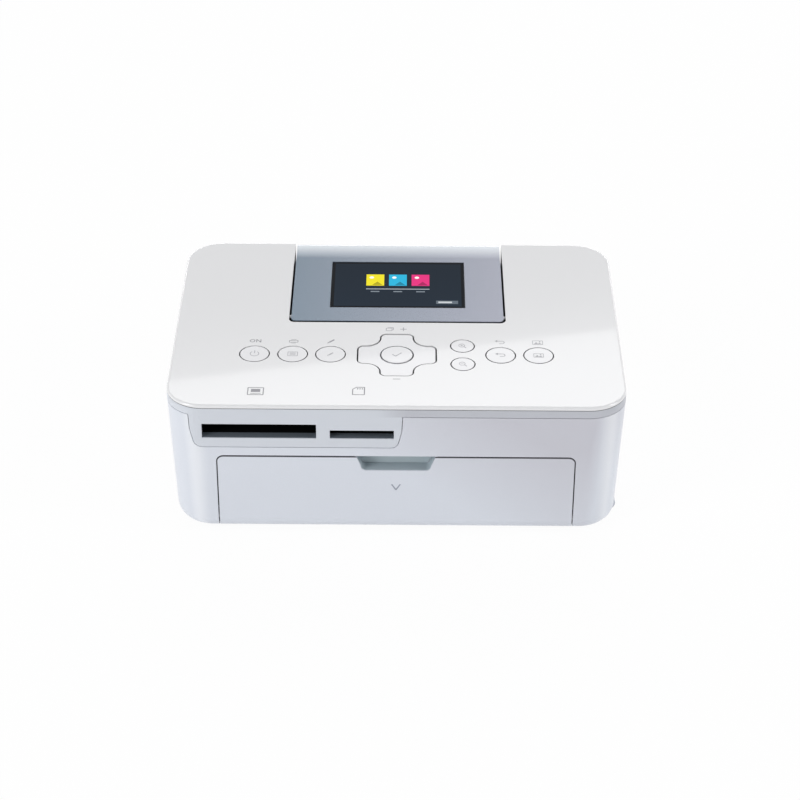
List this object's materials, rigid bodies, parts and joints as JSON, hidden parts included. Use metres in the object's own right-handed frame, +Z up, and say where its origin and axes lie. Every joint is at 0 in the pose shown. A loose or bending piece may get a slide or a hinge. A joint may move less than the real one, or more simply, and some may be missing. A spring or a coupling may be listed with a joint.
{
  "type": "compact photo printer",
  "caption": "Compact photo printer with a glossy top cover, tilting colour screen, round keys and cross pad, two card slots, a drop-down paper bay door and a side ink door",
  "frame": {"origin": "centre of the footprint, on the plane the rubber feet stand on", "axes": "+X to the right seen from the front, +Y to the rear, +Z up"},
  "size_m": [0.178, 0.127, 0.0605],
  "materials": {
    "top_cover": "gloss",
    "case": "satin",
    "band": "satin",
    "screen_frame": "metallic satin",
    "screen_glass": "gloss",
    "display": "gloss",
    "key": "gloss",
    "inner_grey": "matte",
    "black_plastic": "matte",
    "board": "satin",
    "steel": "brushed",
    "zinc_steel": "plated",
    "alloy": "satin",
    "brass": "satin",
    "acetal": "satin",
    "rubber": "matte",
    "ceramic": "satin",
    "film": "gloss"
  },
  "bodies": {
    "housing": {"top_plate": "top_cover", "upper_frame": "band", "lower_housing": "case", "base_plate": "case", "rubber_feet": "rubber", "case_screws": "steel", "hinge_pins": "steel", "paper_bay": "inner_grey", "ink_bay_panel": "inner_grey", "lcd_tray": "black_plastic", "button_board": "board", "dome_switches": "steel", "main_board": "board", "main_chips": "black_plastic", "large_card_socket": "inner_grey", "small_card_socket": "inner_grey", "interface_board": "board", "wide_data_port": "zinc_steel", "narrow_data_port": "zinc_steel", "power_jack": "black_plastic", "chassis_left": "zinc_steel", "chassis_right": "zinc_steel", "paper_guide": "inner_grey", "feed_motor": "zinc_steel", "gearbox_plate": "zinc_steel", "head_shaft": "steel", "ribbon_motor": "zinc_steel", "fan_frame": "black_plastic"},
    "front_door_body": {"front_door": "case"},
    "ink_door_body": {"ink_door": "case"},
    "screen": {"lcd_bezel": "screen_frame", "lcd_glass": "screen_glass", "lcd_display": "display", "lcd_back": "case"},
    "power_button_body": {"power_button": "key"},
    "menu_button_body": {"menu_button": "key"},
    "edit_button_body": {"edit_button": "key"},
    "zoom_in_button_body": {"zoom_in_button": "key"},
    "zoom_out_button_body": {"zoom_out_button": "key"},
    "back_button_body": {"back_button": "key"},
    "print_button_body": {"print_button": "key"},
    "ok_button_body": {"ok_button": "key"},
    "pad_pivot": {"dpad_pivot": "acetal"},
    "pad": {"dpad": "key"},
    "platen": {"platen_roller": "rubber"},
    "feed": {"feed_roller": "steel", "feed_gear": "acetal"},
    "pinch": {"pinch_roller": "steel"},
    "pickup": {"pickup_roller": "rubber", "pickup_gear": "acetal"},
    "motor_shaft": {"motor_pinion": "brass"},
    "head": {"head_arm": "zinc_steel", "head_heatsink": "alloy", "thermal_head": "ceramic"},
    "cassette": {"ink_cassette_case": "inner_grey", "ink_ribbon": "film"},
    "supply": {"supply_spool": "black_plastic"},
    "takeup": {"takeup_spool": "black_plastic"},
    "ribbon_drive": {"ribbon_hub": "acetal"},
    "fan": {"fan_rotor": "black_plastic"}
  },
  "joints": [
    {"name": "front_door_hinge", "type": "hinge", "parent": "housing", "child": "front_door_body", "pos_m": [0, -0.058, 0.0075], "axis": [1, 0, 0], "range_deg": [0, 90]},
    {"name": "ink_door_hinge", "type": "hinge", "parent": "housing", "child": "ink_door_body", "pos_m": [0.0842, 0, 0.0054], "axis": [0, 1, 0], "range_deg": [0, 90]},
    {"name": "screen_tilt", "type": "hinge", "parent": "housing", "child": "screen", "pos_m": [0, 0.0076, 0.057], "axis": [1, 0, 0], "range_deg": [0, 45]},
    {"name": "power_button_press", "type": "slide", "parent": "housing", "child": "power_button_body", "axis": [0, 0, 1], "range_m": [-0.0006, 0], "stiffness_N_per_m": 400},
    {"name": "menu_button_press", "type": "slide", "parent": "housing", "child": "menu_button_body", "axis": [0, 0, 1], "range_m": [-0.0006, 0], "stiffness_N_per_m": 400},
    {"name": "edit_button_press", "type": "slide", "parent": "housing", "child": "edit_button_body", "axis": [0, 0, 1], "range_m": [-0.0006, 0], "stiffness_N_per_m": 400},
    {"name": "zoom_in_button_press", "type": "slide", "parent": "housing", "child": "zoom_in_button_body", "axis": [0, 0, 1], "range_m": [-0.0006, 0], "stiffness_N_per_m": 400},
    {"name": "zoom_out_button_press", "type": "slide", "parent": "housing", "child": "zoom_out_button_body", "axis": [0, 0, 1], "range_m": [-0.0006, 0], "stiffness_N_per_m": 400},
    {"name": "back_button_press", "type": "slide", "parent": "housing", "child": "back_button_body", "axis": [0, 0, 1], "range_m": [-0.0006, 0], "stiffness_N_per_m": 400},
    {"name": "print_button_press", "type": "slide", "parent": "housing", "child": "print_button_body", "axis": [0, 0, 1], "range_m": [-0.0006, 0], "stiffness_N_per_m": 400},
    {"name": "ok_button_press", "type": "slide", "parent": "housing", "child": "ok_button_body", "axis": [0, 0, 1], "range_m": [-0.0006, 0], "stiffness_N_per_m": 400},
    {"name": "pad_tilt_up_down", "type": "hinge", "parent": "housing", "child": "pad_pivot", "pos_m": [0, -0.0259, 0.0552], "axis": [1, 0, 0], "range_deg": [-2.5, 2.5], "stiffness_Nm_per_rad": 0.05},
    {"name": "pad_tilt_left_right", "type": "hinge", "parent": "pad_pivot", "child": "pad", "pos_m": [0, -0.0259, 0.0565], "axis": [0, 1, 0], "range_deg": [-2.5, 2.5], "stiffness_Nm_per_rad": 0.05},
    {"name": "platen_spin", "type": "hinge", "parent": "housing", "child": "platen", "pos_m": [0, 0.024, 0.0138], "axis": [1, 0, 0], "continuous": true},
    {"name": "feed_spin", "type": "hinge", "parent": "housing", "child": "feed", "pos_m": [0, 0.008, 0.0169], "axis": [1, 0, 0], "continuous": true},
    {"name": "pinch_spin", "type": "hinge", "parent": "housing", "child": "pinch", "pos_m": [0, 0.008, 0.0232], "axis": [1, 0, 0], "continuous": true},
    {"name": "pickup_spin", "type": "hinge", "parent": "housing", "child": "pickup", "pos_m": [0, -0.01093, 0.026], "axis": [1, 0, 0], "continuous": true},
    {"name": "motor_spin", "type": "hinge", "parent": "housing", "child": "motor_shaft", "pos_m": [0, -0.02793, 0.026], "axis": [1, 0, 0], "continuous": true},
    {"name": "head_lower", "type": "hinge", "parent": "housing", "child": "head", "pos_m": [0, 0.048, 0.0455], "axis": [1, 0, 0], "range_deg": [0, 8.5]},
    {"name": "cassette_slide", "type": "slide", "parent": "housing", "child": "cassette", "axis": [1, 0, 0], "range_m": [0, 0.0045]},
    {"name": "supply_spin", "type": "hinge", "parent": "cassette", "child": "supply", "pos_m": [0, 0.0385, 0.0315], "axis": [1, 0, 0], "continuous": true},
    {"name": "takeup_spin", "type": "hinge", "parent": "cassette", "child": "takeup", "pos_m": [0, 0, 0.038], "axis": [1, 0, 0], "continuous": true},
    {"name": "hub_spin", "type": "hinge", "parent": "housing", "child": "ribbon_drive", "pos_m": [0, 0, 0.038], "axis": [1, 0, 0], "continuous": true},
    {"name": "fan_spin", "type": "hinge", "parent": "housing", "child": "fan", "pos_m": [0.0585, 0.058, 0.0368], "axis": [0, 1, 0], "continuous": true}
  ],
  "couplings": [
    {"joint": "feed_spin", "follows": "platen_spin", "ratio": 2},
    {"joint": "pinch_spin", "follows": "platen_spin", "ratio": -2},
    {"joint": "pickup_spin", "follows": "platen_spin", "ratio": -1},
    {"joint": "motor_spin", "follows": "platen_spin", "ratio": 4.6667},
    {"joint": "takeup_spin", "follows": "supply_spin", "ratio": 1.56},
    {"joint": "hub_spin", "follows": "supply_spin", "ratio": 1.56}
  ]
}
